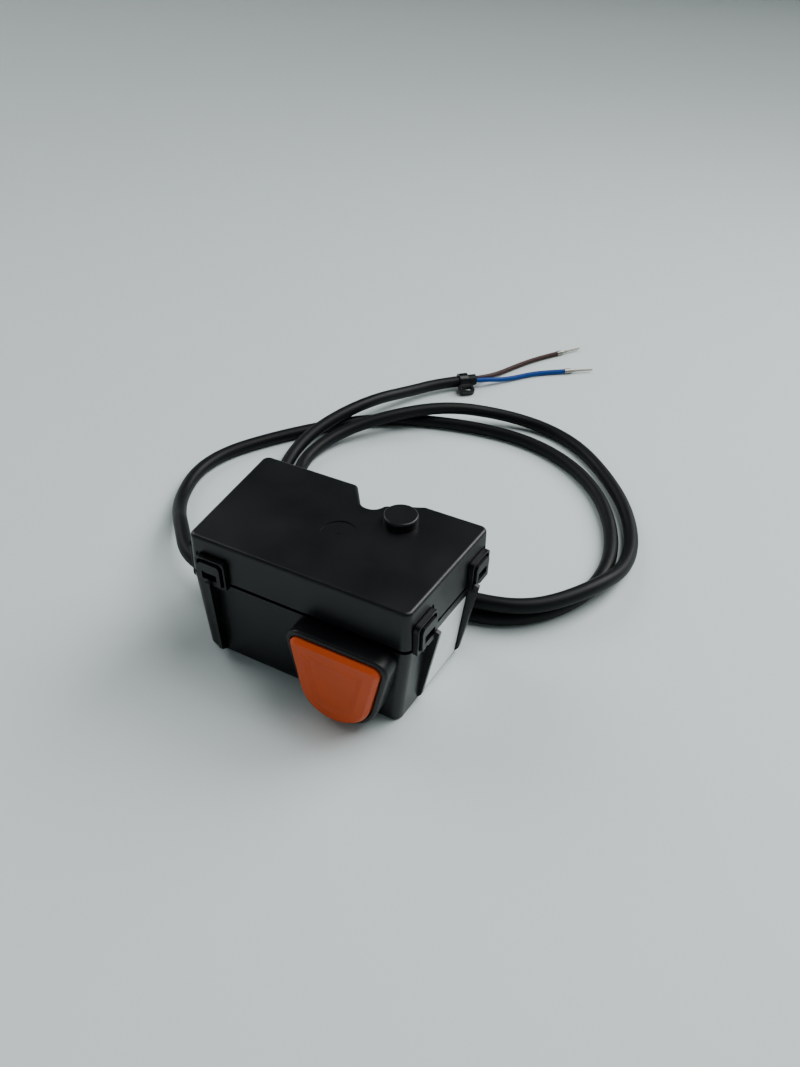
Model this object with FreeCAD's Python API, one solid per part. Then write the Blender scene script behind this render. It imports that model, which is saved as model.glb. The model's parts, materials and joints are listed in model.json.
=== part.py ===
import FreeCAD, Part
import math
import os

# Dead man switch: a two-part snap housing with a hinged hand paddle, a snap-action switch and a cable.
# X runs across the box, -Y is the paddle side, Z is up, the base stands on Z = 0. Millimetres.

V = FreeCAD.Vector
X_AXIS = V(1, 0, 0)
Y_AXIS = V(0, 1, 0)
Z_AXIS = V(0, 0, 1)
ORIGIN = V(0, 0, 0)

# Box
front_width = 101.4
depth = 64.4
height = 62.0
parting = 42.6
flare = 5.1
corner_r = 4.0
wall = 2.8
floor = 2.6
groove = 1.6
right_lean = 3.8
left_lean = 2.2
front_lean = 0.7
rear_lean = 9.0
base_edge_r = 1.2
cover_lean = 0.72
cover_edge_r = 1.6
tongue = 1.1
tongue_rise = 2.6
tongue_gap = 0.2
tongue_headroom = 0.4

# Rear notch, read along the rear edge and forward from it
notch_left = -6.6
notch_right = 26.0
notch_floor_left = 2.1
notch_floor_right = 7.8
notch_depth = 12.5
notch_step_x = 10.1
notch_step_depth = 7.7
notch_lip_r = 3.0
notch_floor_r = 4.4
notch_step_r = 4.0

# Snap latches
latch_end_in = 11.9
latch_front_in = 10.6
latch_rear_in = 11.4
latch_pocket_half = 8.1
latch_pocket_top = 12.5
latch_pocket_depth = 0.9
latch_pocket_gap = 0.3
latch_flange_half = 7.3
latch_flange_top = 11.7
latch_flange_bottom = -2.2
latch_flange_out = 2.0
latch_moat = 1.0
latch_moat_floor = 0.2
latch_plate_half = 5.4
latch_plate_top = 9.9
latch_plate_out = 3.0
latch_plate_bottom = -0.9
latch_corner_r = 2.2
latch_toe_r = 0.25
latch_window_half = 3.55
latch_window_bottom = 1.8
latch_window_top = 5.6
latch_dimple_r = 0.6
latch_dimple_x = 2.1
latch_dimple_z = -0.5
catch_gap = 0.2
catch_out = 2.4
catch_flat = 1.0
fin_thick = 1.8
fin_foot = 1.9
fin_out = 4.6
fin_end_taper = 0.8
fin_side_taper = 2.6
fin_side_shift = 5.4
fin_top_gap = 0.2
fin_top_chamfer = 0.6
fin_foot_chamfer = 2.1
fin_foot_out = 0.6
embed = 0.5
oversize = 1.0

# Paddle, hood and hinge
paddle_in = 26.9
paddle_gap = 0.7
paddle_side_slope = 11.0
paddle_toe_r = 16.15
paddle_toe_z = 17.7
paddle_corner_r = 3.5
paddle_least_r = 0.4
paddle_face = 11.4
paddle_depth = 8.0
paddle_skin = 2.4
paddle_side = 2.0
paddle_bevel = 1.6
dish_rim = 5.6
dish_slope = 2.4
dish_depth = 0.9
paddle_rest = 2.5
paddle_travel = 6.0
hood_wall = 2.0
hood_reach = 8.9
hood_lift = 0.1
hood_edge_r = 1.2
pivot_out = 5.5
pivot_z = 34.0
pin_r = 1.5
pin_length = 30.0
pin_running_gap = 0.05
ear_offset = 13.0
ear_thick = 3.0
ear_r = 3.2
lug_offset = 8.5
lug_thick = 4.0
lug_r = 2.6
lug_web = 4.4
coil_r = 2.3
coil_wire_r = 0.4
coil_half_turns = 9
coil_pitch = 1.0
coil_leg = 8.0
coil_stop_gap = 0.3
coil_stop_width = 3.0
coil_stop_height = 2.6
rib_width = 6.0
rib_height = 3.0
rib_z = 20.0
rib_tip = 4.2
rib_gap = 0.6
rib_rise = 1.9
hook_offset = 7.5
hook_width = 3.0
hook_height = 2.5
hook_z = 9.0
hook_barb = 2.3
hook_barb_length = 2.0
hook_stop_gap = 0.35
hook_slot_gap = 0.7
hook_rise = 0.9

# Snap-action switch and its carrier
contact_gap = 0.3
case_length = 27.8
case_depth = 15.9
case_thick = 10.3
case_edge = 0.8
plunger_offset = 5.2
plunger_r = 1.7
plunger_out = 2.1
plunger_in = 2.6
plunger_gap = 0.05
case_hole_in = 2.8
case_hole_back = 3.2
blade_pitch = 9.5
blade_width = 4.8
blade_thick = 0.8
blade_length = 8.0
sleeve_width = 6.6
sleeve_thick = 3.4
sleeve_edge_r = 1.0
sleeve_length = 13.5
sleeve_start = 2.0
sleeve_fit = 0.1
shelf_thick = 2.5
shelf_overhang = 3.1
shelf_front = 3.0
shelf_back = 0.5
foot_length = 7.0
boss_r = 4.0
boss_top = 6.0
screw_r = 1.25
screw_head_r = 2.8
screw_head = 2.0
screw_slot = 0.8
screw_bite = 4.6
bolt_r = 1.5

# Dome plug and moulded mark
plug_x = 22.0
plug_y = 16.5
plug_r = 7.45
plug_height = 4.2
plug_edge_r = 1.0
plug_stem_r = 4.0
plug_barb = 0.6
plug_barb_length = 3.0
plug_fit = 0.05
gate_x = 3.0
gate_y = -1.6
gate_r = 7.6
gate_depth = 0.35
gate_nub_r = 0.7
gate_nub = 0.25

# Cable, strain relief and clamp
cable_d = 7.4
core_d = 3.2
core_spread = 1.65
core_straight = 5.0
lead_straight = 6.4
cable_y = -4.0
cable_z = 14.0
cable_hump = 1.13
cable_strip = 22.4
cable_joint = 7.6
gland_stand = 1.7
gland_bore = 8.4
gland_boss_r = 9.0
gland_neck_r = 6.0
gland_flange_r = 8.0
gland_flange = 2.5
gland_collar = 2.0
gland_root_r = 6.6
gland_tip_r = 4.9
gland_tail = 20.0
gland_rings = 5
gland_ring_cut = 0.7
clamp_in = 11.4
clamp_width = 7.0
clamp_half = 11.0
clamp_gap = 0.8
clamp_cap = 2.2
clamp_screw_y = 8.0
tie_width = 6.0
tie_thick = 1.4
tie_back = 6.0
tie_loop_half = 5.4
tie_loop_reach = 12.6
tie_loop_thick = 2.8
tie_loop_bar = 1.9
tie_loop_r = 2.6
tie_eye_r = 1.2
tie_loop_turn = -17.0
crimp_r = 1.85
crimp_length = 9.0
crimp_lap = 1.5
strand_r = 0.8
strand_length = 12.0
lift_off = 0.05

# Sticker
label_fin_gap = 0.8
label_bottom = 1.8
label_rim_gap = 4.8
label_thick = 0.2
label_glue = 0.02

FRONT = -depth / 2
BACK = depth / 2
RIM = parting - groove / 2
SKIRT = parting + groove / 2
PADDLE_TOP = RIM - hood_wall - paddle_gap
CORD_R = cable_d / 2
paddle_x = front_width / 2 - paddle_in
PIVOT = V(paddle_x, FRONT - pivot_out, pivot_z)


def turn_of(before, after):
    return math.acos(max(-1.0, min(1.0, before.dot(after))))


def rounded_wire(corners, place):
    """Closed wire through corners (a, b, radius), each corner a tangent arc, put in space by place(a, b)."""
    points = [V(a, b, 0) for a, b, _ in corners]
    count = len(points)
    spans = []
    for i, (_, _, radius) in enumerate(corners):
        before = (points[i] - points[i - 1]).normalize()
        after = (points[(i + 1) % count] - points[i]).normalize()
        half = turn_of(before, after) / 2
        reach = radius * math.tan(half)
        middle = points[i] + (after - before).normalize() * (radius / math.cos(half) - radius)
        spans.append((points[i] - before * reach, middle, points[i] + after * reach))
    edges = []
    for i in range(count):
        start, middle, end = [place(p.x, p.y) for p in spans[i]]
        following = spans[(i + 1) % count][0]
        edges.append(Part.Arc(start, middle, end).toShape())
        edges.append(Part.LineSegment(end, place(following.x, following.y)).toShape())
    return Part.Wire(edges)


def inset(corners, distance, least_r=0.25):
    """The same outline moved inwards (counter-clockwise corners), radii following."""
    count = len(corners)
    points = [V(a, b, 0) for a, b, _ in corners]
    out = []
    for i in range(count):
        before = (points[i] - points[i - 1]).normalize()
        after = (points[(i + 1) % count] - points[i]).normalize()
        normal = V(-before.y, before.x, 0)
        side = 1 if before.cross(after).z > 0 else -1
        half = turn_of(before, after) / 2
        corner = points[i] + normal * distance + before * (-side * distance * math.tan(half))
        out.append((corner.x, corner.y, max(least_r, corners[i][2] - side * distance)))
    return out


def at_height(z):
    return lambda a, b: V(a, b, z)


def facing(y):
    return lambda a, b: V(a, y, b)


def prism(corners, place, along):
    return Part.Face(rounded_wire(corners, place)).extrude(along)


def loft(first, first_place, second, second_place):
    return Part.makeLoft([rounded_wire(first, first_place), rounded_wire(second, second_place)], True, True)


def block(x0, x1, y0, y1, z0, z1):
    return Part.makeBox(x1 - x0, y1 - y0, z1 - z0, V(x0, y0, z0))


def rod(radius, start, end):
    return Part.makeCylinder(radius, (end - start).Length, start, end - start)


def turned(profile):
    """Solid of revolution about Z of (radius, height) points."""
    points = [V(r, 0, z) for r, z in profile]
    return Part.Face(Part.makePolygon(points + [points[0]])).revolve(ORIGIN, Z_AXIS, 360)


def joined(shapes):
    return shapes[0].fuse(shapes[1:]).removeSplitter()


def edges_at(shape, axis, value):
    return [e for e in shape.Edges if all(abs(getattr(v.Point, axis) - value) < 1e-3 for v in e.Vertexes)]


def half_width(y):
    return front_width / 2 + (y - FRONT) * math.tan(math.radians(flare))


def plan(left_in, right_in, front_in, rear_in):
    """Outline of the box seen from above, with its rear notch, each side moved in by its own amount."""
    y0 = FRONT + front_in
    y1 = BACK - rear_in
    return [
        (left_in - half_width(y0), y0, corner_r),
        (half_width(y0) - right_in, y0, corner_r),
        (half_width(y1) - right_in, y1, corner_r),
        (notch_right, y1, notch_lip_r),
        (notch_step_x, y1 - notch_step_depth, notch_step_r),
        (notch_floor_right, y1 - notch_depth, notch_floor_r),
        (notch_floor_left, y1 - notch_depth, notch_floor_r),
        (notch_left, y1, notch_lip_r),
        (left_in - half_width(y1), y1, corner_r),
    ]


TOP_PLAN = plan(0, 0, 0, 0)


def lean_share(z):
    return 1 - z / RIM


def lower_plan(z):
    """Outline of the lower housing's outside at height z: its walls lean in towards the base."""
    share = lean_share(z)
    return plan(left_lean * share, right_lean * share, front_lean * share, rear_lean * share)


def front_wall_inside(z):
    return FRONT + front_lean * lean_share(z) + wall


# Latch places: x, y, turn of the wall, lean of the wall, and the fin's taper and shift along the wall
LATCH_X = latch_end_in - front_width / 2
ROWS = [FRONT + latch_front_in, BACK - latch_rear_in]
RIGHT_TURN = -90 - flare
LEFT_TURN = 90 + flare
LATCHES = [
    (LATCH_X, FRONT, 180, front_lean, fin_end_taper, 0),
    (LATCH_X, BACK, 0, rear_lean, fin_end_taper, 0),
]
for row, shift in zip(ROWS, (fin_side_shift, -fin_side_shift)):
    LATCHES.append((half_width(row), row, RIGHT_TURN, right_lean, fin_side_taper, -shift))
    LATCHES.append((-half_width(row), row, LEFT_TURN, left_lean, fin_side_taper, shift))


def on_wall(shape, x, y, angle):
    """Places a piece drawn with X along the wall, Y out of it and Z up from the parting line."""
    out = shape.copy()
    out.rotate(ORIGIN, Z_AXIS, angle)
    out.translate(V(x, y, parting))
    return out


def arch(half, bottom, top, inner, outer):
    corners = [
        (-half, bottom, latch_toe_r), (half, bottom, latch_toe_r),
        (half, top, latch_corner_r), (-half, top, latch_corner_r),
    ]
    return prism(corners, facing(inner), V(0, outer - inner, 0))


def latch_loop(lean, taper, shift):
    """Loop that stands up from the lower housing over the catch: plate, moat and flange, with a fin below."""
    foot = fin_foot - parting
    back = -lean * parting / RIM
    root = latch_pocket_gap - latch_pocket_depth
    flange = arch(latch_flange_half, latch_flange_bottom, latch_flange_top, root, latch_flange_out)
    moat = arch(latch_plate_half + latch_moat, -groove / 2, latch_plate_top + latch_moat,
                latch_moat_floor, latch_plate_out)
    plate = arch(latch_plate_half, latch_plate_bottom, latch_plate_top, root, latch_plate_out)
    fin_top = latch_window_bottom - fin_top_gap
    outline = [
        V(0, root, fin_top),
        V(0, latch_plate_out - embed, fin_top),
        V(0, fin_out, fin_top - fin_top_chamfer),
        V(0, fin_out - taper + back, foot + fin_foot_chamfer),
        V(0, fin_foot_out + back, foot),
        V(0, back - embed, foot),
    ]
    fin = Part.Face(Part.makePolygon(outline + [outline[0]])).extrude(V(fin_thick, 0, 0))
    fin.translate(V(shift - fin_thick / 2, 0, 0))
    window = block(-latch_window_half, latch_window_half, -wall, 2 * latch_plate_out,
                   latch_window_bottom, latch_window_top)
    dimple = rod(latch_dimple_r, V(latch_dimple_x, latch_plate_out - embed, latch_dimple_z),
                 V(latch_dimple_x, 2 * latch_plate_out, latch_dimple_z))
    return joined([flange.cut(moat), plate, fin]).cut(window).cut(dimple)


def catch_nose():
    top = latch_window_top - catch_gap
    root = -latch_pocket_depth - embed
    outline = [
        V(0, root, latch_window_bottom + embed), V(0, catch_out, top - catch_flat),
        V(0, catch_out, top), V(0, root, top),
    ]
    half = latch_window_half - catch_gap
    nose = Part.Face(Part.makePolygon(outline + [outline[0]])).extrude(V(2 * half, 0, 0))
    nose.translate(V(-half, 0, 0))
    return nose


def shield(grow):
    """Outline of the paddle seen from the front, grown outwards by grow: a blunt wedge with a round toe."""
    slope = math.radians(paddle_side_slope)
    toe_r = paddle_toe_r + grow
    tip = paddle_toe_z - toe_r / math.sin(slope)
    top = PADDLE_TOP + grow
    half = (top - tip) * math.tan(slope)
    corner = max(paddle_least_r, paddle_corner_r + grow)
    return [(paddle_x - half, top, corner), (paddle_x, tip, toe_r), (paddle_x + half, top, corner)]


def at_rest(shape):
    """Swings a piece drawn with an upright paddle out to the paddle's free position."""
    out = shape.copy()
    out.rotate(PIVOT, X_AXIS, -paddle_rest)
    return out


def lower_housing():
    outside = loft(lower_plan(0), at_height(0), lower_plan(RIM), at_height(RIM))
    outside = outside.makeFillet(base_edge_r, edges_at(outside, "z", 0))
    rim_inside = inset(lower_plan(RIM), wall)
    shell = outside.cut(loft(inset(lower_plan(floor), wall), at_height(floor), rim_inside, at_height(RIM)))
    lip_foot = RIM - wall
    lip_height = parting + tongue_rise - lip_foot
    lip = prism(inset(TOP_PLAN, wall - tongue), at_height(lip_foot), Z_AXIS * lip_height)
    lip = lip.cut(prism(inset(TOP_PLAN, wall), at_height(lip_foot - embed), Z_AXIS * height))
    lip = lip.cut(loft(inset(lower_plan(lip_foot), wall), at_height(lip_foot), rim_inside, at_height(RIM)))
    hood_outline = shield(paddle_gap + hood_wall)
    hood = prism(hood_outline, facing(FRONT - hood_reach), Y_AXIS * (hood_reach + front_lean + embed))
    hood = hood.makeFillet(hood_edge_r, edges_at(hood, "y", FRONT - hood_reach))
    hood = hood.cut(block(-front_width, front_width, 2 * FRONT, 0, -height, hood_lift))
    pocket = prism(shield(paddle_gap), facing(FRONT - 2 * hood_reach), Y_AXIS * (2 * hood_reach))
    shell = joined([shell, lip, hood]).cut(pocket)
    pieces = [shell]
    for side in (-1, 1):
        x = paddle_x + side * lug_offset - lug_thick / 2
        pieces.append(rod(lug_r, V(x, PIVOT.y, pivot_z), V(x + lug_thick, PIVOT.y, pivot_z)))
        pieces.append(block(x, x + lug_thick, PIVOT.y, FRONT + embed,
                            pivot_z - lug_web / 2, pivot_z + lug_web / 2))
    swing = math.radians(paddle_travel - paddle_rest)
    stop_y = PIVOT.y + coil_r * math.cos(swing) + coil_leg * math.sin(swing) + coil_wire_r + coil_stop_gap
    stop_z = pivot_z - coil_leg
    leg_x = paddle_x - coil_half_turns * coil_pitch / 4
    pieces.append(block(leg_x - coil_stop_width / 2, leg_x + coil_stop_width / 2, stop_y, FRONT + embed,
                        stop_z - coil_stop_height / 2, stop_z + coil_stop_height / 2))
    for x, y in carrier_feet():
        pieces.append(Part.makeCylinder(boss_r, boss_top - floor + embed, V(x, y, floor - embed)))
    pieces.append(rod(gland_boss_r, on_cable(GLAND_FACE), on_cable(GLAND_FACE + gland_bore)))
    pieces.append(block(CLAMP_X, CLAMP_X + clamp_width, cable_y - clamp_half, cable_y + clamp_half,
                        floor - embed, cable_z - clamp_gap))
    for x, y, angle, lean, taper, shift in LATCHES:
        pieces.append(on_wall(latch_loop(lean, taper, shift), x, y, angle))
    housing = joined(pieces)
    cuts = [paddle_pin()]
    rib_half = rib_width / 2 + rib_gap
    cuts.append(block(paddle_x - rib_half, paddle_x + rib_half, FRONT - embed, FRONT + 2 * wall,
                      rib_z - rib_height / 2 - rib_gap, rib_z + rib_height / 2 + rib_rise))
    slot_half = hook_width / 2 + hook_slot_gap
    slot_up = hook_height / 2 + hook_slot_gap
    for side in (-1, 1):
        x = paddle_x + side * hook_offset
        cuts.append(block(x - slot_half, x + slot_half, FRONT - embed, FRONT + 2 * wall,
                          hook_z - slot_up, hook_z + slot_up + hook_rise))
    for x, y in carrier_feet():
        cuts.append(Part.makeCylinder(screw_r, screw_bite, V(x, y, boss_top - screw_bite)))
    cuts.append(rod(gland_neck_r, on_cable(2 * GLAND_FACE), on_cable(GLAND_FACE + gland_bore + embed)))
    cuts.append(rod(CORD_R, on_cable(GLAND_FACE), on_cable(CABLE_IN)))
    for side in (-1, 1):
        start = V(CLAMP_X + clamp_width / 2, cable_y + side * clamp_screw_y, cable_z - clamp_gap - screw_bite)
        cuts.append(Part.makeCylinder(screw_r, screw_bite, start))
    return housing.cut(cuts)


def cover():
    outside = loft(TOP_PLAN, at_height(SKIRT), inset(TOP_PLAN, cover_lean), at_height(height))
    outside = outside.makeFillet(cover_edge_r, edges_at(outside, "z", height))
    ceiling = height - floor
    inside = prism(inset(TOP_PLAN, wall), at_height(SKIRT), Z_AXIS * (ceiling - SKIRT))
    seat_top = parting + tongue_rise + tongue_headroom
    seat = prism(inset(TOP_PLAN, wall - tongue - tongue_gap), at_height(SKIRT), Z_AXIS * (seat_top - SKIRT))
    shell = outside.cut([inside, seat])
    pockets = []
    noses = []
    for x, y, angle, _, _, _ in LATCHES:
        pocket = arch(latch_pocket_half, -groove, latch_pocket_top, -latch_pocket_depth, wall)
        pockets.append(on_wall(pocket, x, y, angle))
        noses.append(on_wall(catch_nose(), x, y, angle))
    shell = shell.cut(pockets)
    recess = Part.makeCylinder(gate_r, 2 * gate_depth, V(gate_x, gate_y, height - gate_depth))
    nub = Part.makeCylinder(gate_nub_r, gate_nub + embed, V(gate_x, gate_y, height - gate_depth - embed))
    hole_foot = V(plug_x, plug_y, ceiling - oversize)
    hole = Part.makeCylinder(plug_stem_r + plug_fit, floor + 2 * oversize, hole_foot)
    return joined([joined([shell] + noses).cut([recess, hole]), nub])


def dome_plug():
    under = -floor - plug_fit
    head = Part.makeCylinder(plug_r, plug_height)
    head = head.makeFillet(plug_edge_r, edges_at(head, "z", plug_height))
    stem = turned([
        (0, embed), (plug_stem_r, embed), (plug_stem_r, under), (plug_stem_r + plug_barb, under - plug_fit),
        (plug_stem_r - plug_barb, under - plug_barb_length), (0, under - plug_barb_length),
    ])
    out = joined([head, stem])
    out.translate(V(plug_x, plug_y, height))
    return out


def paddle():
    face_y = FRONT - paddle_face
    shoulder = face_y + paddle_bevel
    rim = loft(shield(-paddle_bevel), facing(face_y), shield(0), facing(shoulder))
    body = prism(shield(0), facing(shoulder), Y_AXIS * (paddle_depth - paddle_bevel))
    hollow = prism(shield(-paddle_side), facing(face_y + paddle_skin), Y_AXIS * paddle_depth)
    dish_floor = facing(face_y + dish_depth)
    dish = loft(shield(-dish_rim), facing(face_y), shield(-dish_rim - dish_slope), dish_floor)
    shell = joined([rim, body]).cut([hollow, dish])
    pieces = [shell]
    for side in (-1, 1):
        x = paddle_x + side * ear_offset - ear_thick / 2
        pieces.append(rod(ear_r, V(x, PIVOT.y, pivot_z), V(x + ear_thick, PIVOT.y, pivot_z)))
        pieces.append(block(x, x + ear_thick, face_y + paddle_skin - embed, PIVOT.y,
                            pivot_z - ear_r, pivot_z + ear_r))
    swung = at_rest(joined(pieces))
    plate_y = PIVOT.y - (paddle_face - paddle_skin - pivot_out) / math.cos(math.radians(paddle_rest)) - embed
    slope = math.tan(math.radians(paddle_rest))
    arms = []
    rib_start = plate_y - slope * (pivot_z - rib_z - rib_height)
    arms.append(block(paddle_x - rib_width / 2, paddle_x + rib_width / 2, rib_start, FRONT + rib_tip,
                      rib_z - rib_height / 2, rib_z + rib_height / 2))
    hook_start = plate_y - slope * (pivot_z - hook_z - hook_height)
    catch_y = front_wall_inside(hook_z) + hook_stop_gap
    hook_top = hook_z + hook_height / 2
    for side in (-1, 1):
        x0 = paddle_x + side * hook_offset - hook_width / 2
        tip_y = catch_y + hook_barb_length
        arms.append(block(x0, x0 + hook_width, hook_start, tip_y, hook_z - hook_height / 2, hook_top))
        arms.append(block(x0, x0 + hook_width, catch_y, tip_y, hook_top, hook_top + hook_barb))
    return joined([swung] + arms).cut(paddle_pin(pin_running_gap))


def paddle_pin(grow=0):
    return rod(pin_r + grow, PIVOT - X_AXIS * (pin_length / 2), PIVOT + X_AXIS * (pin_length / 2))


def paddle_spring():
    """Torsion spring round the hinge pin: one leg bears on the paddle, the other on the housing."""
    rise = coil_pitch / 2
    edges = [Part.LineSegment(V(coil_r, -coil_leg, 0), V(coil_r, 0, 0)).toShape()]
    for k in range(coil_half_turns):
        side = 1 if k % 2 == 0 else -1
        crown = V(0, side * math.hypot(coil_r, rise / 2), (k + 0.5) * rise)
        start = V(side * coil_r, 0, k * rise)
        end = V(-side * coil_r, 0, (k + 1) * rise)
        edges.append(Part.Arc(start, crown, end).toShape())
    run = coil_half_turns * rise
    edges.append(Part.LineSegment(V(-coil_r, 0, run), V(-coil_r, -coil_leg, run)).toShape())
    ring = Part.Wire(Part.makeCircle(coil_wire_r, V(coil_r, -coil_leg, 0), Y_AXIS))
    out = Part.Wire(edges).makePipeShell([ring], True, False)
    turn = FreeCAD.Rotation(Y_AXIS, Z_AXIS, X_AXIS, "ZXY")
    out.Placement = FreeCAD.Placement(PIVOT - X_AXIS * (run / 2), turn)
    return at_rest(out)


CASE_X = paddle_x - plunger_offset
CASE_FRONT = FRONT + rib_tip + contact_gap + plunger_out
CASE_BACK = CASE_FRONT + case_depth
CASE_BOTTOM = rib_z - case_thick / 2
BLADES = [CASE_X + blade_pitch * k for k in (-1, 0, 1)]
WIRED = BLADES[1:]


def case_holes():
    reach = case_length / 2 - case_hole_in
    return [(CASE_X + side * reach, CASE_BACK - case_hole_back) for side in (-1, 1)]


def carrier_feet():
    reach = case_length / 2 + shelf_overhang + foot_length / 2
    return [(CASE_X + side * reach, (CASE_FRONT + CASE_BACK) / 2) for side in (-1, 1)]


def switch_case():
    half = case_length / 2
    outline = [(CASE_X - half, CASE_FRONT, case_edge), (CASE_X + half, CASE_FRONT, case_edge),
               (CASE_X + half, CASE_BACK, case_edge), (CASE_X - half, CASE_BACK, case_edge)]
    body = prism(outline, at_height(CASE_BOTTOM), Z_AXIS * case_thick)
    depth_in = plunger_in + plunger_out + contact_gap
    mouth = V(paddle_x, CASE_FRONT - oversize, rib_z)
    cuts = [rod(plunger_r + plunger_gap, mouth, mouth + Y_AXIS * (depth_in + oversize))]
    cuts += [Part.makeCylinder(bolt_r, 2 * case_thick, V(x, y, CASE_BOTTOM - embed)) for x, y in case_holes()]
    return body.cut(cuts)


def switch_plunger():
    tip = CASE_FRONT - plunger_out
    stem = rod(plunger_r, V(paddle_x, tip, rib_z), V(paddle_x, CASE_FRONT + plunger_in, rib_z))
    return stem.makeFillet(plunger_r / 2, edges_at(stem, "y", tip))


def switch_terminals():
    out = []
    for x in BLADES:
        out.append(block(x - blade_width / 2, x + blade_width / 2, CASE_BACK, CASE_BACK + blade_length,
                         rib_z - blade_thick / 2, rib_z + blade_thick / 2))
    return Part.makeCompound(out)


def lead_receptacles():
    out = []
    for x in WIRED:
        start = CASE_BACK + sleeve_start
        half = sleeve_width / 2
        low = rib_z - sleeve_thick / 2
        high = rib_z + sleeve_thick / 2
        outline = [(x - half, low, sleeve_edge_r), (x + half, low, sleeve_edge_r),
                   (x + half, high, sleeve_edge_r), (x - half, high, sleeve_edge_r)]
        sleeve = prism(outline, facing(start), Y_AXIS * sleeve_length)
        slot = block(x - blade_width / 2 - sleeve_fit, x + blade_width / 2 + sleeve_fit,
                     start - oversize, CASE_BACK + blade_length + sleeve_fit,
                     rib_z - blade_thick / 2 - sleeve_fit, rib_z + blade_thick / 2 + sleeve_fit)
        out.append(sleeve.cut(slot))
    return Part.makeCompound(out)


def screw(radius, length, x, y, seat):
    """Pan-head slotted screw, head on the seat height, shank downwards."""
    head = Part.makeCylinder(screw_head_r, screw_head, V(x, y, seat))
    head = head.makeFillet(screw_head / 2, edges_at(head, "z", seat + screw_head))
    shank = Part.makeCylinder(radius, length + embed, V(x, y, seat - length))
    slot = block(x - screw_slot / 2, x + screw_slot / 2, y - 2 * screw_head_r, y + 2 * screw_head_r,
                 seat + screw_head - screw_slot, seat + 2 * screw_head)
    return head.fuse(shank).cut(slot)


def switch_carrier():
    half = case_length / 2 + shelf_overhang
    y0 = CASE_FRONT + shelf_front
    y1 = CASE_BACK - shelf_back
    shelf = block(CASE_X - half, CASE_X + half, y0, y1, CASE_BOTTOM - shelf_thick, CASE_BOTTOM)
    pieces = [shelf]
    for side in (-1, 1):
        inner = CASE_X + side * (half - shelf_thick)
        outer = CASE_X + side * half
        toe = CASE_X + side * (half + foot_length)
        pieces.append(block(min(inner, outer), max(inner, outer), y0, y1, boss_top, CASE_BOTTOM - embed))
        pieces.append(block(min(inner, toe), max(inner, toe), y0, y1, boss_top, boss_top + shelf_thick))
    cuts = [Part.makeCylinder(screw_r, 2 * shelf_thick, V(x, y, boss_top - embed)) for x, y in carrier_feet()]
    shelf_under = CASE_BOTTOM - shelf_thick - oversize
    bolt_room = shelf_thick + 2 * oversize
    cuts += [Part.makeCylinder(bolt_r, bolt_room, V(x, y, shelf_under)) for x, y in case_holes()]
    return joined(pieces).cut(cuts)


def switch_screws():
    seat = CASE_BOTTOM + case_thick
    return Part.makeCompound([screw(bolt_r, case_thick + shelf_thick, x, y, seat) for x, y in case_holes()])


def carrier_screws():
    return Part.makeCompound([screw(screw_r, shelf_thick + screw_bite, x, y, boss_top + shelf_thick)
                              for x, y in carrier_feet()])


CLAMP_SEAT = cable_z + CORD_R + clamp_cap
GLAND_FACE = left_lean * lean_share(cable_z) - half_width(cable_y) - gland_stand
CLAMP_X = GLAND_FACE + clamp_in
CABLE_IN = GLAND_FACE + cable_strip
CABLE_SPLIT = GLAND_FACE - cable_joint


def on_cable(x):
    return V(x, cable_y, cable_z)


def cord_clamp():
    bar = block(CLAMP_X, CLAMP_X + clamp_width, cable_y - clamp_half, cable_y + clamp_half,
                cable_z + clamp_gap, CLAMP_SEAT)
    cuts = [rod(CORD_R, on_cable(CLAMP_X - oversize), on_cable(CLAMP_X + clamp_width + oversize))]
    for side in (-1, 1):
        base = V(CLAMP_X + clamp_width / 2, cable_y + side * clamp_screw_y, cable_z)
        cuts.append(Part.makeCylinder(screw_r, clamp_half, base))
    return bar.cut(cuts)


def clamp_screws():
    length = CLAMP_SEAT - (cable_z - clamp_gap) + screw_bite
    x = CLAMP_X + clamp_width / 2
    rows = [cable_y + side * clamp_screw_y for side in (-1, 1)]
    return Part.makeCompound([screw(screw_r, length, x, y, CLAMP_SEAT) for y in rows])


def cable_gland():
    """Strain relief bush: collar inside the boss, flange outside it, and a ringed tapering tail."""
    collar_r = gland_neck_r + plug_barb
    collar_end = -gland_bore - gland_collar
    profile = [
        (CORD_R, collar_end), (collar_r, collar_end), (collar_r, -gland_bore),
        (gland_neck_r, -gland_bore), (gland_neck_r, 0), (gland_flange_r, 0), (gland_flange_r, gland_flange),
    ]
    pitch = (gland_tail - gland_flange) / gland_rings
    for k in range(gland_rings):
        start = gland_flange + k * pitch
        outer = gland_root_r + (gland_tip_r - gland_root_r) * k / (gland_rings - 1)
        profile += [(outer - gland_ring_cut, start), (outer - gland_ring_cut, start + pitch / 3)]
        profile += [(outer, start + pitch / 3), (outer, start + pitch)]
    profile.append((CORD_R, gland_tail))
    out = turned(profile)
    out.rotate(ORIGIN, Y_AXIS, -90)
    out.translate(on_cable(GLAND_FACE))
    return out


def cord_path(points, name):
    """Straight runs joined by the largest tangent arcs the runs allow; prints the arc radii."""
    points = [V(*p) for p in points]
    edges = []
    radii = []
    here = points[0]
    for i in range(1, len(points) - 1):
        before = points[i] - points[i - 1]
        after = points[i + 1] - points[i]
        reach = 0.45 * min(before.Length, after.Length)
        before.normalize()
        after.normalize()
        half = turn_of(before, after) / 2
        radius = reach / math.tan(half)
        radii.append(round(radius, 1))
        start = points[i] - before * reach
        end = points[i] + after * reach
        middle = points[i] + (after - before).normalize() * (radius / math.cos(half) - radius)
        edges.append(Part.LineSegment(here, start).toShape())
        edges.append(Part.Arc(start, middle, end).toShape())
        here = end
    edges.append(Part.LineSegment(here, points[-1]).toShape())
    path = Part.Wire(edges)
    print(name, "length", round(path.Length, 1), "radii", radii)
    return path


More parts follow.
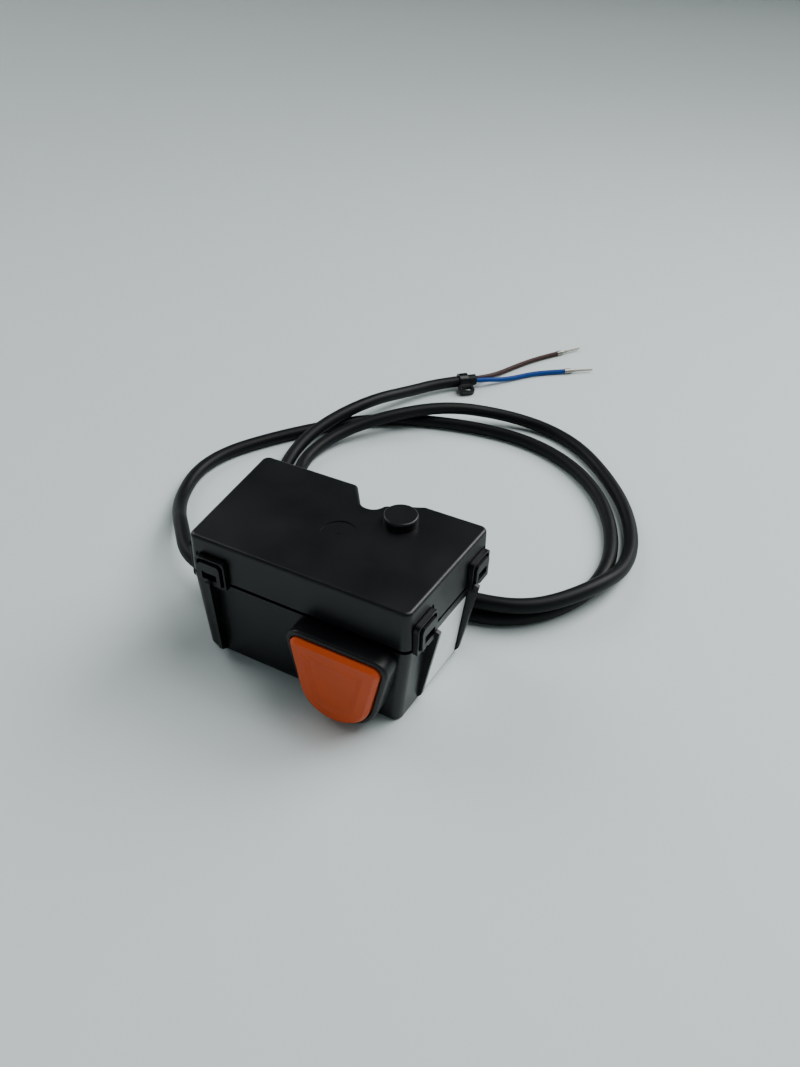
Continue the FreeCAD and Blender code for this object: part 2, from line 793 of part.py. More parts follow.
def cord(points, diameter, name):
    path = cord_path(points, name)
    start = V(*points[0])
    ring = Part.Wire(Part.makeCircle(diameter / 2, start, V(*points[1]) - start))
    tube = path.makePipeShell([ring], True, False)
    section = math.pi * diameter ** 2 / 4
    print(name, "volume over section times length", round(tube.Volume / (section * path.Length), 4))
    return tube


# Cable route: out of the left wall, two loose turns on the table, each strand over the one before
lie = CORD_R + lift_off
over = lie + cable_hump * cable_d
cable_route = [
    (CABLE_SPLIT, cable_y, cable_z), (-80.5, cable_y, cable_z), (-96.2, 12.6, 9.6), (-115.4, 27.5, 5.2),
    (-128.0, 47.3, lie), (-135.4, 69.5, lie), (-132.7, 93.3, lie), (-119.3, 117.6, lie),
    (-100.6, 142.9, lie), (-78.8, 166.9, lie),
    (-50.2, 183.0, lie), (-17.2, 192.4, lie), (16.1, 194.5, lie), (46.6, 184.6, lie), (71.6, 164.2, lie),
    (88.4, 136.5, lie), (96.9, 106.6, lie), (94.3, 78.4, lie), (81.0, 55.0, lie), (61.5, 39.5, lie),
    (37.0, 36.0, lie), (10.0, 39.5, lie), (-19.0, 50.5, lie), (-49.2, 66.2, lie), (-74.3, 86.8, lie),
    (-86.2, 112.7, lie), (-79.6, 141.4, 7.0), (-59.5, 169.8, over), (-34.2, 194.6, over), (-5.7, 210.6, 7.0),
    (23.2, 214.5, lie), (49.5, 203.1, lie), (72.5, 181.0, lie), (91.6, 154.7, lie), (102.9, 126.4, 3.9),
    (104.9, 99.3, 7.0), (97.7, 76.0, over), (85.6, 57.7, over), (73.0, 45.7, over), (57.0, 39.5, over),
    (35.0, 36.8, over), (10.0, 39.5, over), (-18.0, 43.5, over), (-46.0, 51.0, 10.5), (-69.8, 63.6, 5.5),
    (-86.9, 81.3, lie), (-95.9, 103.2, 4.4), (-96.2, 127.6, 8.6), (-88.6, 153.5, over), (-78.7, 180.7, over),
    (-68.7, 207.8, 7.2), (-56.5, 231.6, 5.4), (-38.3, 248.2, 5.4),
]
CABLE_END = V(*cable_route[-1])
END_WAY = (CABLE_END - V(*cable_route[-2])).normalize()
END_SIDE = V(-END_WAY.y, END_WAY.x, 0)


def core_route(side, points):
    start = CABLE_END + END_SIDE * (side * core_spread)
    on_table = crimp_r + lift_off
    way_out = start + END_WAY * core_straight
    return [tuple(start), tuple(way_out)] + [(x, y, on_table) for x, y in points]


brown_route = core_route(1, [(-30.5, 268.5), (-21.5, 290.5), (-12.6, 308.2), (-2.9, 322.3)])
blue_route = core_route(-1, [(-21.5, 264.8), (-9.0, 282.0), (2.9, 291.8), (11.2, 298.0)])

# Inner leads, from the clamped cable end to the two wired blades
SLEEVE_END = CASE_BACK + sleeve_start + sleeve_length


def lead_route(side, blade_x, bends):
    """Bends are shares of the way across, back and up between the two straight ends."""
    x0 = CABLE_IN + lead_straight
    y0 = cable_y + side * core_spread
    y1 = SLEEVE_END + lead_straight
    rise = rib_z - cable_z
    route = [(CABLE_IN, y0, cable_z), (x0, y0, cable_z)]
    route += [(x0 + a * (blade_x - x0), y0 + b * (y1 - y0), cable_z + c * rise) for a, b, c in bends]
    return route + [(blade_x, y1, rib_z), (blade_x, SLEEVE_END, rib_z)]


brown_bends = [(0.30, 0.12, -0.40), (0.61, 0.29, -0.63), (0.86, 0.62, -0.43), (0.99, 1.0, -0.10)]
blue_bends = [(0.37, 0.06, 0.10), (0.63, 0.23, 0.20), (0.84, 0.61, 0.17), (0.99, 0.99, 0.03)]
brown_lead_route = lead_route(1, WIRED[1], brown_bends)
blue_lead_route = lead_route(-1, WIRED[0], blue_bends)


def crimp(route):
    """Pin sleeve crimped over the end of a core."""
    end = V(*route[-1])
    way = (end - V(*route[-2])).normalize()
    sleeve = rod(crimp_r, end - way * crimp_lap, end + way * (crimp_length - crimp_lap))
    return sleeve.cut(rod(core_d / 2, end - way * crimp_length, end))


def strands(route):
    """Bare tinned strands that stand out of the crimp."""
    end = V(*route[-1])
    way = (end - V(*route[-2])).normalize()
    start = end + way * (crimp_length - crimp_lap)
    tip = V(way.x, way.y, 0).normalize() * strand_length
    return rod(strand_r, start, start + tip)


def cable_tie():
    """Band round the cable close to its end, with a hanging loop on the near side."""
    band_r = CORD_R + tie_thick
    ring = Part.makeCylinder(band_r, tie_width)

    def frame(near_x, far_x, half, radius):
        low = tie_width / 2 - half
        high = tie_width / 2 + half
        corners = [(near_x, low), (far_x, low), (far_x, high), (near_x, high)]
        return [(x, z, radius) for x, z in corners]

    outer = frame(band_r - embed, tie_loop_reach, tie_loop_half, tie_loop_r)
    eye = frame(band_r + tie_loop_bar, tie_loop_reach - tie_loop_bar, tie_loop_half - tie_loop_bar, tie_eye_r)
    loop = prism(outer, facing(-tie_loop_thick / 2), Y_AXIS * tie_loop_thick)
    eye_hole = prism(eye, facing(-tie_loop_thick), Y_AXIS * (2 * tie_loop_thick))
    bore = Part.makeCylinder(CORD_R, 2 * tie_width, V(0, 0, -embed))
    out = joined([ring, loop]).cut([eye_hole, bore])
    loop_turn = math.radians(tie_loop_turn)
    near = (Z_AXIS * math.sin(loop_turn) - END_SIDE * math.cos(loop_turn)).normalize()
    turn = FreeCAD.Rotation(near, END_WAY.cross(near), END_WAY, "ZXY")
    out.Placement = FreeCAD.Placement(CABLE_END - END_WAY * (tie_back + tie_width), turn)
    return out


def blank_label():
    """Plain film sticker that fills the right wall between its two fins."""
    lean_angle = math.degrees(math.atan(right_lean * math.cos(math.radians(flare)) / RIM))
    fin_span = (ROWS[1] - ROWS[0]) / math.cos(math.radians(flare)) - 2 * fin_side_shift
    half = (fin_span - fin_thick) / 2 - label_fin_gap
    sheet = block(-half, half, label_glue, label_glue + label_thick,
                  label_bottom - parting, RIM - label_rim_gap - parting)
    sheet.rotate(V(0, 0, RIM - parting), X_AXIS, -lean_angle)
    middle = (ROWS[0] + ROWS[1]) / 2
    return on_wall(sheet, half_width(middle), middle, RIGHT_TURN)


NODES = {
    "lower_housing": lower_housing,
    "cover": cover,
    "dome_plug": dome_plug,
    "paddle": paddle,
    "paddle_pin": paddle_pin,
    "paddle_spring": paddle_spring,
    "switch_case": switch_case,
    "switch_plunger": switch_plunger,
    "switch_terminals": switch_terminals,
    "switch_screws": switch_screws,
    "switch_carrier": switch_carrier,
    "carrier_screws": carrier_screws,
    "lead_receptacles": lead_receptacles,
    "brown_lead": lambda: cord(brown_lead_route, core_d, "brown_lead"),
    "blue_lead": lambda: cord(blue_lead_route, core_d, "blue_lead"),
    "cord_clamp": cord_clamp,
    "clamp_screws": clamp_screws,
    "cable_gland": cable_gland,
    "cable_entry": lambda: rod(CORD_R, on_cable(CABLE_SPLIT), on_cable(CABLE_IN)),
    "cable_jacket": lambda: cord(cable_route, cable_d, "cable_jacket"),
    "cable_tie": cable_tie,
    "brown_core": lambda: cord(brown_route, core_d, "brown_core"),
    "blue_core": lambda: cord(blue_route, core_d, "blue_core"),
    "brown_crimp": lambda: crimp(brown_route),
    "blue_crimp": lambda: crimp(blue_route),
    "brown_strands": lambda: strands(brown_route),
    "blue_strands": lambda: strands(blue_route),
    "blank_label": blank_label,
}

os.makedirs("parts", exist_ok=True)
for node, make in NODES.items():
    shape = make()
    box = shape.BoundBox
    print(node, "valid", shape.isValid(), "solids", len(shape.Solids), "volume", round(shape.Volume, 1),
          "z", round(box.ZMin, 2), round(box.ZMax, 2))
    shape.exportStep("parts/" + node + ".step")
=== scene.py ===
import json
import math
import bpy
import numpy as np
from bpy.props import FloatProperty, FloatVectorProperty, IntProperty, PointerProperty
from mathutils import Matrix, Vector


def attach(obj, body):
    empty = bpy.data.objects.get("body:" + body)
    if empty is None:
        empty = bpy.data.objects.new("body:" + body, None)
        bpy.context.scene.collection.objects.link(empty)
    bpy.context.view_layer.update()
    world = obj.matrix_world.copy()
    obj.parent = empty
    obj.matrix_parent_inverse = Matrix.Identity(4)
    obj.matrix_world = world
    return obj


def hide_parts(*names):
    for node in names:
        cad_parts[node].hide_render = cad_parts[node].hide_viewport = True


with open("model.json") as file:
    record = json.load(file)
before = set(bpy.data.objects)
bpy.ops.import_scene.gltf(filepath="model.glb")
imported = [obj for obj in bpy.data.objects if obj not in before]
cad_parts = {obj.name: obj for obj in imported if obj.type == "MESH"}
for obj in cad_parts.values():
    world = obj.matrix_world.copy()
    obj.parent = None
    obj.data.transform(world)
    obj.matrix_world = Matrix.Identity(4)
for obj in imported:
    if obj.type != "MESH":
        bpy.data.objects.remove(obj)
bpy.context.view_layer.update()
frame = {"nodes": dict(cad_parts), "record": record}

bl_info = {
    "name": "Dead Man Switch",
    "version": (1, 0, 0),
    "blender": (4, 5, 0),
    "location": "View3D > Sidebar > Switch",
    "description": "Dresses a snap-lid paddle switch with its two-core cable and sets its stage",
    "category": "Object",
}

MM = 0.001
BODY = "housing"
CABLE_MM = 7.4


def linear(code):
    """Linear RGB of an sRGB hex value, by the sRGB transfer curve."""
    srgb = np.array([int(code[i:i + 2], 16) for i in (0, 2, 4)]) / 255
    return tuple(np.where(srgb <= 0.04045, srgb / 12.92, ((srgb + 0.055) / 1.055) ** 2.4).tolist())


# Settings

def colour(name, code, description):
    return FloatVectorProperty(name=name, description=description, default=linear(code),
                               subtype="COLOR", size=3, min=0.0, max=1.0)


def length(name, millimetres, description):
    return FloatProperty(name=name, description=description, default=millimetres * MM, min=0.0,
                         subtype="DISTANCE", unit="LENGTH")


def light(name, amount, description, unit="NONE"):
    return FloatProperty(name=name, description=description, default=amount, min=0.0, unit=unit)


class SwitchSizes(bpy.types.PropertyGroup):
    """Sizes of the cords, the wire ends and the edge rounds"""
    cable: length("Cable", CABLE_MM, "Diameter over the cable's jacket")
    core: length("Core", 3.2, "Diameter over a core's insulation")
    sleeve: length("Crimp sleeve", 3.7, "Diameter of a crimp sleeve at its mouth")
    sleeve_neck: length("Crimp neck", 1.9, "Diameter of a crimp sleeve where the strands leave it")
    strand: length("Strand", 0.5, "Diameter of one tinned strand")
    strand_lay: length("Lay of the strands", 15.0, "Length in which a strand goes once round its bundle")
    housing_edge: length("Housing edges", 0.3, "Round on the housing's and the cover's crisp edges")
    paddle_edge: length("Paddle edges", 0.8, "Round on the paddle's crisp edges")
    small_edge: length("Small edges", 0.25, "Round on the edges of the small mouldings")
    ring_sides: IntProperty(name="Ring sides", description="Faces round a crimp sleeve",
                            default=48, min=12)


class SwitchColours(bpy.types.PropertyGroup):
    """Colours of the mouldings, sheaths and metals"""
    black: colour("Black moulding", "07090c", "Housing, cover, dome plug, switch carrier and cord clamp")
    orange: colour("Orange moulding", "c04612", "Paddle")
    sheath: colour("Cable jacket", "07090b", "Outer jacket of the cable, and its gland")
    tie: colour("Cable tie", "060709", "Tie at the cable's end")
    brown: colour("Brown core", "36211d", "Insulation of the brown core")
    blue: colour("Blue core", "05397f", "Insulation of the blue core")
    tin: colour("Tinned metal", "98948d", "Crimp sleeves and bare strands")
    film: colour("Label film", "e4e7e8", "Bare film on the right wall")
    steel: colour("Steel", "b5b8ba", "Hinge pin, spring and screws")
    brass: colour("Brass", "c7a45c", "Switch blades")
    case: colour("Switch case", "211d1b", "Case of the snap-action switch")
    plunger: colour("Plunger", "a3241c", "Plunger of the snap-action switch")
    sleeve: colour("Lead sleeves", "d9d6c8", "Sleeves over the lead receptacles")


class SwitchStudio(bpy.types.PropertyGroup):
    """Floor and light"""
    floor: colour("Floor", "cdd8d7", "Matt floor paint")
    floor_flat: length("Flat floor", 3400.0, "Radius of the flat floor, where the sweep starts to rise")
    sweep: length("Sweep", 2400.0, "Radius of the sweep that lifts the floor's edge into a wall")
    sky_tint: colour("Sky tint", "e2ebf2", "Colour of the even light all round")
    sky: light("Sky", 0.12, "Strength of the even light all round")
    left: light("Left light", 1.0, "Strength of the soft light from the left")
    back: light("Back light", 2.7, "Strength of the soft light from behind on the right")
    spread: FloatProperty(name="Light spread", description="Angle that the left and the back light each fill",
                          default=math.radians(36), min=0.0, subtype="ANGLE", unit="ROTATION")
    top: light("Top panel", 8.5, "Power of the panel above the box and the cable", "POWER")
    panel: light("Right panel", 1.2, "Power of the panel over the right of the floor", "POWER")


# Materials

# The Mix node's colour sockets, which share their names with its other sockets and so go by number
MIX_FACTOR, MIX_A, MIX_B, MIX_RESULT = 0, 6, 7, 2

# Mouldings: size in mm of the melt's flow marks, how far they shift the pigment and the roughness, and
# the two values between which most of the noise lies
FLOW_MM = 22.0
PIGMENT_DRIFT = 0.16
GLOSS_DRIFT = 0.05
NOISE_LOW, NOISE_HIGH = 0.3, 0.7

# A grained wall gives back less light than a polished one, so the IOR is under the usual 1.5 of a polymer,
# and lower still on the dull sheaths
POLYMER_IOR = 1.37
SHEATH_IOR = 1.26

# Metals: scale of the die lines along X, their depth in mm and strength, and how far they lower and raise the
# roughness; size in mm of the patches, and their dull and bright share of the colour
LINE_STRETCH = 0.2
LINE_DEPTH_MM = 0.01
LINE_STRENGTH = 0.6
LINE_SMOOTHER, LINE_ROUGHER = 0.1, 0.14
PATCH_MM = 2.5
PATCH_DULL, PATCH_BRIGHT = 0.78, 1.08

# Floor paint: size in mm of the roller's marks, how far they shift the colour, and the paint's roughness
ROLLER_MM = 120
ROLLER_DRIFT = 0.015
PAINT_ROUGH = 0.7


def add(tree, kind, values=None, links=None, **settings):
    """Adds one node: settings on the node, values on its sockets, links from other nodes' sockets."""
    made = tree.nodes.new(kind)
    for key, value in settings.items():
        setattr(made, key, value)
    for key, value in (values or {}).items():
        made.inputs[key].default_value = value
    for key, source in (links or {}).items():
        tree.links.new(source, made.inputs[key])
    return made


def start(name):
    """A new material with an empty tree, and its Object coordinates."""
    made = bpy.data.materials.new(name)
    made.use_nodes = True
    made.node_tree.nodes.clear()
    place = add(made.node_tree, "ShaderNodeTexCoord").outputs["Object"]
    return made, made.node_tree, place


def close(tree, skin):
    add(tree, "ShaderNodeOutputMaterial", links={"Surface": skin.outputs["BSDF"]})


def per_metre(size_mm):
    """Noise scale that gives features of a size in millimetres."""
    return 1 / (size_mm * MM)


def shade(rgb, factor):
    return (*(min(1.0, part * factor) for part in rgb), 1.0)


def moulded(name, rgb, rough, grain_mm, grain_depth_mm, ior=POLYMER_IOR):
    """A moulded or extruded polymer: pigment that drifts with the melt's flow, gloss that drifts with it,
    and the fine grain of the tool's wall as bump."""
    made, tree, place = start(name)
    flow = add(tree, "ShaderNodeTexNoise", {"Scale": per_metre(FLOW_MM), "Detail": 4.0}, {"Vector": place})
    grain = add(tree, "ShaderNodeTexNoise", {"Scale": per_metre(grain_mm), "Detail": 2.0}, {"Vector": place})
    tone = add(tree, "ShaderNodeMix",
               {MIX_A: shade(rgb, 1 - PIGMENT_DRIFT), MIX_B: shade(rgb, 1 + PIGMENT_DRIFT)},
               {MIX_FACTOR: flow.outputs["Fac"]}, data_type="RGBA")
    gloss = add(tree, "ShaderNodeMapRange",
                {"From Min": NOISE_LOW, "From Max": NOISE_HIGH,
                 "To Min": rough - GLOSS_DRIFT, "To Max": rough + GLOSS_DRIFT},
                {"Value": flow.outputs["Fac"]})
    bump = add(tree, "ShaderNodeBump", {"Strength": 1.0, "Distance": grain_depth_mm * MM},
               {"Height": grain.outputs["Fac"]})
    skin = add(tree, "ShaderNodeBsdfPrincipled", {"IOR": ior},
               {"Base Color": tone.outputs[MIX_RESULT], "Roughness": gloss.outputs["Result"],
                "Normal": bump.outputs["Normal"]})
    close(tree, skin)
    return made


def drawn_metal(name, rgb, rough, line_mm):
    """A drawn or stamped metal: die lines, drawn out along X, and dull patches between bright ones."""
    made, tree, place = start(name)
    along = add(tree, "ShaderNodeMapping", {"Scale": (LINE_STRETCH, 1.0, 1.0)}, {"Vector": place})
    lines = add(tree, "ShaderNodeTexNoise", {"Scale": per_metre(line_mm), "Detail": 3.0},
                {"Vector": along.outputs["Vector"]})
    patch = add(tree, "ShaderNodeTexNoise", {"Scale": per_metre(PATCH_MM), "Detail": 2.0}, {"Vector": place})
    tone = add(tree, "ShaderNodeMix", {MIX_A: shade(rgb, PATCH_DULL), MIX_B: shade(rgb, PATCH_BRIGHT)},
               {MIX_FACTOR: patch.outputs["Fac"]}, data_type="RGBA")
    gloss = add(tree, "ShaderNodeMapRange", {"To Min": rough - LINE_SMOOTHER, "To Max": rough + LINE_ROUGHER},
                {"Value": lines.outputs["Fac"]})
    bump = add(tree, "ShaderNodeBump", {"Strength": LINE_STRENGTH, "Distance": LINE_DEPTH_MM * MM},
               {"Height": lines.outputs["Fac"]})
    skin = add(tree, "ShaderNodeBsdfPrincipled", {"Metallic": 1.0},
               {"Base Color": tone.outputs[MIX_RESULT], "Roughness": gloss.outputs["Result"],
                "Normal": bump.outputs["Normal"]})
    close(tree, skin)
    return made


def floor_paint(rgb):
    """Matt paint rolled on a board: pale, with a slow drift that the roller left."""
    made, tree, place = start("board_painted")
    drift = add(tree, "ShaderNodeTexNoise", {"Scale": per_metre(ROLLER_MM), "Detail": 2.0}, {"Vector": place})
    tone = add(tree, "ShaderNodeMix",
               {MIX_A: shade(rgb, 1 - ROLLER_DRIFT), MIX_B: shade(rgb, 1 + ROLLER_DRIFT)},
               {MIX_FACTOR: drift.outputs["Fac"]}, data_type="RGBA")
    skin = add(tree, "ShaderNodeBsdfPrincipled", {"Roughness": PAINT_ROUGH},
               {"Base Color": tone.outputs[MIX_RESULT]})
    close(tree, skin)
    return made


# Slot: material, colour, roughness, grain size and depth in mm, and the IOR where it isn't the usual one.
# The tool's own grain is near 0.05 mm, too fine to show, so it is drawn about ten times coarser.
MOULDED = {
    # ABS from a spark-eroded tool: deep black, one broad soft highlight, a trace of grain
    "black_moulding": ("abs_black_moulded", "black", 0.36, 0.5, 0.012),
    # ABS with an opaque orange pigment: even colour, satin, soft edges that catch the light
    "orange_moulding": ("abs_orange_moulded", "orange", 0.42, 0.5, 0.010),
    # Extruded plasticised PVC: dull black that gives back little light, with slow waves from the die
    "cable_sheath": ("pvc_black_extruded", "sheath", 0.50, 2.2, 0.030, SHEATH_IOR),
    # Glass-free nylon from a polished tool: black, a little glossier than the cable under it
    "tie_nylon": ("nylon_black_moulded", "tie", 0.32, 0.6, 0.008),
    # Extruded PVC insulation: full colour, one weak and broad highlight along the wire
    "brown_sheath": ("pvc_brown_extruded", "brown", 0.45, 1.4, 0.015, SHEATH_IOR),
    "blue_sheath": ("pvc_blue_extruded", "blue", 0.45, 1.4, 0.015, SHEATH_IOR),
    # Filled phenolic from a compression tool: brown black, dull
    "switch_moulding": ("phenolic_black_moulded", "case", 0.52, 0.4, 0.015),
    # Acetal: dense red with a soap-like sheen
    "plunger_moulding": ("acetal_red_moulded", "plunger", 0.30, 0.5, 0.005),
    # Natural nylon: milky cream, satin
    "sleeve_nylon": ("nylon_natural_moulded", "sleeve", 0.45, 0.5, 0.008),
    # Coated polyester film: clean white, smooth, the faint waves of its glue
    "white_film": ("polyester_film_white_coated", "film", 0.34, 6.0, 0.030),
}

# Slot: material, colour, roughness and die-line width in mm
METAL = {
    # Drawn steel wire and cold-headed screws: grey, bright along the lines of the die
    "steel": ("steel_drawn", "steel", 0.32, 0.25),
    # Brass stamped from rolled strip: warm, satin, rolling lines
    "brass_blade": ("brass_stamped", "brass", 0.30, 0.25),
    # Copper dipped in tin: pale grey, soft highlights, dull where the tin pooled
    "tinned_metal": ("copper_tinned", "tin", 0.24, 0.3),
}


def finish(slot):
    """The material of a record slot, made once."""
    colours = bpy.context.scene.switch_colours
    if slot in MOULDED:
        name, tint, *rest = MOULDED[slot]
        make = moulded
    else:
        name, tint, *rest = METAL[slot]
        make = drawn_metal
    return bpy.data.materials.get(name) or make(name, tuple(getattr(colours, tint)), *rest)


def dress(*names):
    """Gives solids of the frame the finish that the record names for them."""
    slots = {part["node"]: part["material_slot"] for part in frame["record"]["subparts"]}
    for name in names:
        mesh = frame["nodes"][name].data
        mesh.materials.clear()
        mesh.materials.append(finish(slots[name]))


# Edge rounds: the gap in mm that is welded first, the steps of a round, and the least angle of an edge
# that gets one
WELD_MM = 0.001
EDGE_STEPS = 3
CRISP_DEGREES = 28
PADDLE_CRISP_DEGREES = 12


def soften(name, width, crisp_degrees=CRISP_DEGREES):
    """Gives a solid's crisp edges the small round of a moulding tool, and weights the normals by face area
    so that the wide faces between the rounds stay flat to the light."""
    obj = frame["nodes"][name]
    weld = obj.modifiers.new("weld", "WELD")
    weld.merge_threshold = WELD_MM * MM
    bevel = obj.modifiers.new("edge_round", "BEVEL")
    bevel.width = width
    bevel.segments = EDGE_STEPS
    bevel.limit_method = "ANGLE"
    bevel.angle_limit = math.radians(crisp_degrees)
    obj.modifiers.new("flat_faces", "WEIGHTED_NORMAL").keep_sharp = True


# Surfaces

# Edges of a new piece that turn by more than this stay sharp to the light
SHARP_DEGREES = 38

# Width in radians of the groove where the wings of a crimp sleeve meet
SEAM_WIDTH = 0.22

# Strands round the middle one, and the share by which the bundle draws in at its tip
OUTER_STRANDS = 6
TIP_DRAW = 0.22

# Cords: steps between two points of the route, steps of a quarter round, and the order of the NURBS line
CORD_STEPS = 12
CORD_ROUND_STEPS = 8
CORD_ORDER = 3


def link(obj):
    bpy.context.scene.collection.objects.link(obj)
    return obj


def piece(name, points, faces, slot, *nodes):
    """A smooth mesh from arrays, dressed, riding on the housing in place of CAD nodes."""
    mesh = bpy.data.meshes.new(name)
    mesh.from_pydata(points.tolist(), [], faces)
    mesh.polygons.foreach_set("use_smooth", np.ones(len(faces), bool))
    mesh.set_sharp_from_angle(angle=math.radians(SHARP_DEGREES))
    mesh.materials.append(finish(slot))
    obj = link(bpy.data.objects.new(name, mesh))
    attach(obj, BODY)
    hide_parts(*nodes)
    return obj


def tube_faces(rings, sides, first=0):
    """Faces of a closed tube of rings, its two ends drawn together to one point each. The points are the
    start pole, the rings in order and the end pole."""
    grid = first + 1 + np.arange(rings * sides).reshape(rings, sides)
    turned = np.roll(grid, -1, axis=1)
    walls = np.stack([grid[:-1], turned[:-1], turned[1:], grid[1:]], axis=-1).reshape(-1, 4)
    last = first + 1 + rings * sides
    head = np.stack([np.full(sides, first), turned[0], grid[0]], axis=-1)
    tail = np.stack([np.full(sides, last), grid[-1], turned[-1]], axis=-1)
    return walls.tolist() + head.tolist() + tail.tolist()


def axes(way):
    """Two unit directions square to a level direction: sideways and up, right-handed with it."""
    side = np.array([-way[1], way[0], 0.0])
    return side, np.array([0.0, 0.0, 1.0])


def crimp_surface(origin, way, along, radius, sides, nips, seam):
    """A crimped sleeve as a surface of revolution with the press marks taken off its radius.
    At distance s along the axis and angle a round it the radius is r(s) (1 - N(s) cos^2 a - S(s) G(a)):
    N is a row of bell curves where the jaws bit from both sides, and S G is a narrow bell-shaped groove on
    top, where the two wings of the sleeve meet, from two widths before the first jaw mark."""
    angle = np.linspace(0, 2 * np.pi, sides, endpoint=False)
    side, up = axes(way)
    bite = sum(depth * np.exp(-((along - at) / width) ** 2) for at, width, depth in nips)
    groove = seam * np.exp(-((angle - np.pi / 2) / SEAM_WIDTH) ** 2)
    first_at, first_width, _ = nips[0]
    winged = (along > first_at - 2 * first_width)[:, None]
    scale = 1 - bite[:, None] * np.cos(angle) ** 2 - winged * groove
    reach = (radius[:, None] * scale)[..., None]
    ring = np.cos(angle)[:, None] * side + np.sin(angle)[:, None] * up
    walls = origin + along[:, None, None] * way + reach * ring
    poles = origin + along[[0, -1], None] * way
    return np.concatenate([poles[:1], walls.reshape(-1, 3), poles[1:]])


def strand_surfaces(origin, way, reach, wire, lay, rings=60, sides=10):
    """Strands laid up as a bundle: one straight, the others round it on helices.
    Strand k stands off the axis by d_k, once its diameter or nought, and its centre turns by 2 pi s / lay
    with the distance s. The bundle draws in towards its tip, where the strands were tinned together."""
    s = np.linspace(0, reach, rings)
    stand = np.array([0.0] + [wire] * OUTER_STRANDS)[:, None] * (1 - TIP_DRAW * (s / reach) ** 2)
    phase = np.array([0.0] + [2 * k * np.pi / OUTER_STRANDS for k in range(OUTER_STRANDS)])
    turn = phase[:, None] + 2 * np.pi * s / lay
    side, up = axes(way)
    spoke = np.cos(turn)[..., None] * side + np.sin(turn)[..., None] * up
    centre = origin + s[:, None] * way + stand[..., None] * spoke
    angle = np.linspace(0, 2 * np.pi, sides, endpoint=False)
    ring = np.cos(angle)[:, None] * side + np.sin(angle)[:, None] * up
    walls = (centre[:, :, None, :] + wire / 2 * ring).reshape(len(phase), -1, 3)
    points = np.concatenate([centre[:, :1], walls, centre[:, -1:]], axis=1)
    each = points.shape[1]
    faces = [face for k in range(len(phase)) for face in tube_faces(rings, sides, k * each)]
    return points.reshape(-1, 3), faces


def sweep_surface(flat, rise, sides=96, steps=16):
    """A round floor whose edge sweeps up: a disc of radius f, then at angle b from 0 to 90 degrees the
    radius f + r sin b and the height r (1 - cos b), turned once round Z."""
    bend = np.linspace(0, np.pi / 2, steps)
    angle = np.linspace(0, 2 * np.pi, sides, endpoint=False)
    radius = flat + rise * np.sin(bend)
    level = rise * (1 - np.cos(bend))
    ring = np.stack([np.cos(angle), np.sin(angle), np.zeros(sides)], axis=-1)
    walls = radius[:, None, None] * ring + level[:, None, None] * np.array([0.0, 0.0, 1.0])
    grid = np.arange(steps * sides).reshape(steps, sides)
    turned = np.roll(grid, -1, axis=1)
    faces = np.stack([grid[:-1], turned[:-1], turned[1:], grid[1:]], axis=-1).reshape(-1, 4)
    return walls.reshape(-1, 3), faces[:, ::-1].tolist() + [grid[0].tolist()]


def cord_curve(name, route_mm, diameter, slot, node):
    """A round cord on one NURBS line whose control points are the route."""
    curve = bpy.data.curves.new(name, "CURVE")
    curve.dimensions = "3D"
    curve.resolution_u = CORD_STEPS
    curve.bevel_depth = diameter / 2
    curve.bevel_resolution = CORD_ROUND_STEPS
    curve.use_fill_caps = True
    spline = curve.splines.new("NURBS")
    points = np.asarray(route_mm, float) * MM
    spline.points.add(len(points) - 1)
    spline.points.foreach_set("co", np.column_stack([points, np.ones(len(points))]).ravel())
    spline.order_u = CORD_ORDER
    spline.use_endpoint_u = True
    curve.materials.append(finish(slot))
    obj = link(bpy.data.objects.new(name, curve))
    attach(obj, BODY)
    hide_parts(node)
    return obj


def cord_end(name):
    """The end of a cord and its level direction there, read from its NURBS line with the bevel off."""
    bare = bpy.data.objects[name].copy()
    bare.data = bare.data.copy()
    bare.data.bevel_depth = 0
    mesh = bpy.data.meshes.new_from_object(bare)
    line = np.empty(3 * len(mesh.vertices))
    mesh.vertices.foreach_get("co", line)
    last, end = line.reshape(-1, 3)[-2:]
    bpy.data.meshes.remove(mesh)
    bpy.data.curves.remove(bare.data)
    way = (end - last) * (1, 1, 0)
    return end, way / np.linalg.norm(way)


